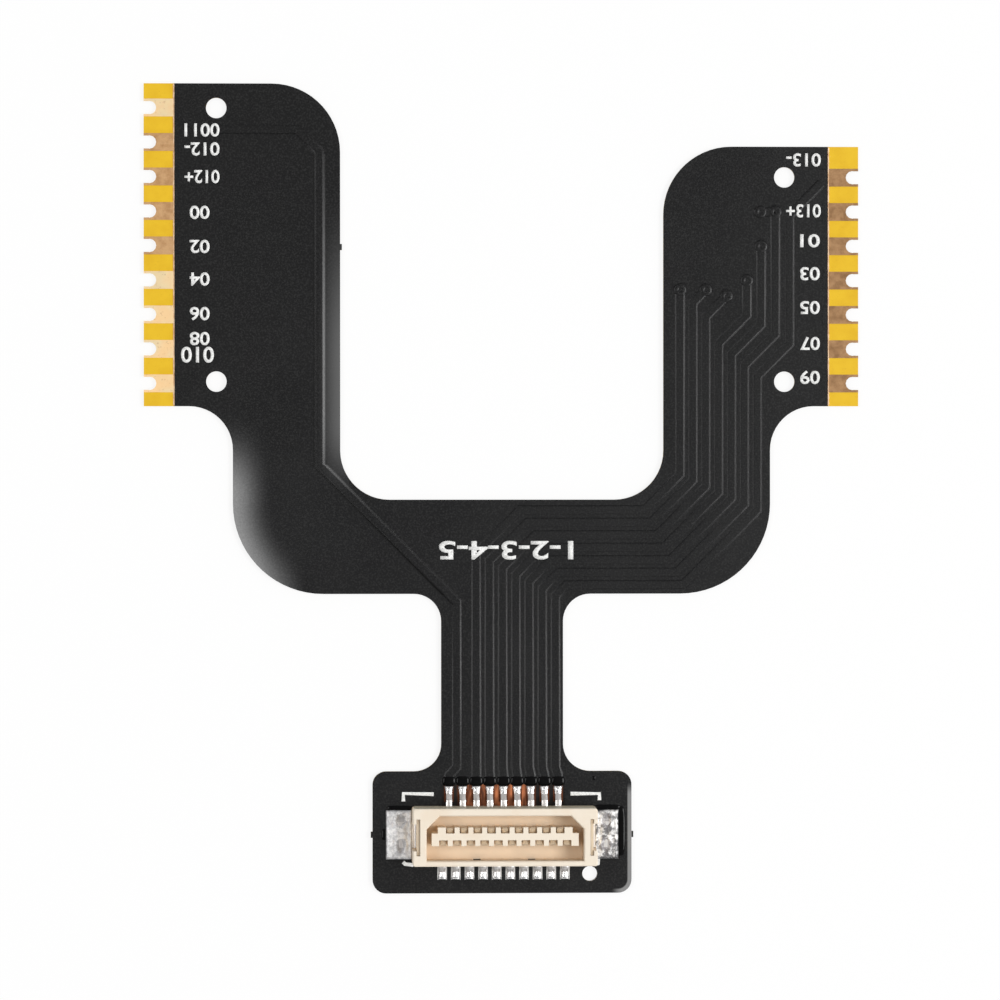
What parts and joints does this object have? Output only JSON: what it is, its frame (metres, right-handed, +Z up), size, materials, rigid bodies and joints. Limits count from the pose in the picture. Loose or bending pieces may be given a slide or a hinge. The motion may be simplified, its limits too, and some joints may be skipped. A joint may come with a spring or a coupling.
{
  "type": "battery sensing flexible printed circuit",
  "caption": "Flat black flexible circuit with two arms of slotted edge pads, a stem and a head that carries an upright two-row connector.",
  "frame": {"origin": "below the centre of the outline, on the stiffener's underside", "axes": "+Z up out of the connector, +Y from the head to the arms, +X to the short arm"},
  "size_m": [0.0524, 0.0594, 0.004],
  "materials": {
    "coverlay": "satin black cover film",
    "polyimide": "amber film",
    "copper": "dull copper",
    "housing": "cream moulded nylon",
    "tinned_metal": "bright tin plate",
    "solder": "solder",
    "stiffener": "dark glass laminate",
    "adhesive": "bonding sheet"
  },
  "bodies": {
    "root": {"base_film": "polyimide", "bottom_coverlay": "coverlay", "conductor_left_1": "copper", "conductor_left_2": "copper", "conductor_left_3": "copper", "conductor_left_4": "copper", "conductor_left_5": "copper", "conductor_left_6": "copper", "conductor_left_7": "copper", "conductor_left_8": "copper", "conductor_left_9": "copper", "conductor_right_1": "copper", "conductor_right_2": "copper", "conductor_right_3": "copper", "conductor_right_4": "copper", "conductor_right_5": "copper", "conductor_right_6": "copper", "conductor_right_7": "copper", "connector_housing": "housing", "connector_stiffener": "stiffener", "front_contact_1": "tinned_metal", "front_contact_2": "tinned_metal", "front_contact_3": "tinned_metal", "front_contact_4": "tinned_metal", "front_contact_5": "tinned_metal", "front_contact_6": "tinned_metal", "front_contact_7": "tinned_metal", "front_contact_8": "tinned_metal", "front_contact_9": "tinned_metal", "front_solder_joints": "solder", "hold_down_lands": "copper", "hold_down_left": "tinned_metal", "hold_down_right": "tinned_metal", "hold_down_solder": "solder", "rear_contact_1": "tinned_metal", "rear_contact_10": "tinned_metal", "rear_contact_2": "tinned_metal", "rear_contact_3": "tinned_metal", "rear_contact_4": "tinned_metal", "rear_contact_5": "tinned_metal", "rear_contact_6": "tinned_metal", "rear_contact_7": "tinned_metal", "rear_contact_8": "tinned_metal", "rear_contact_9": "tinned_metal", "rear_solder_joints": "solder", "spare_lands": "copper", "stiffener_adhesive": "adhesive", "top_coverlay": "coverlay"}
  },
  "joints": []
}
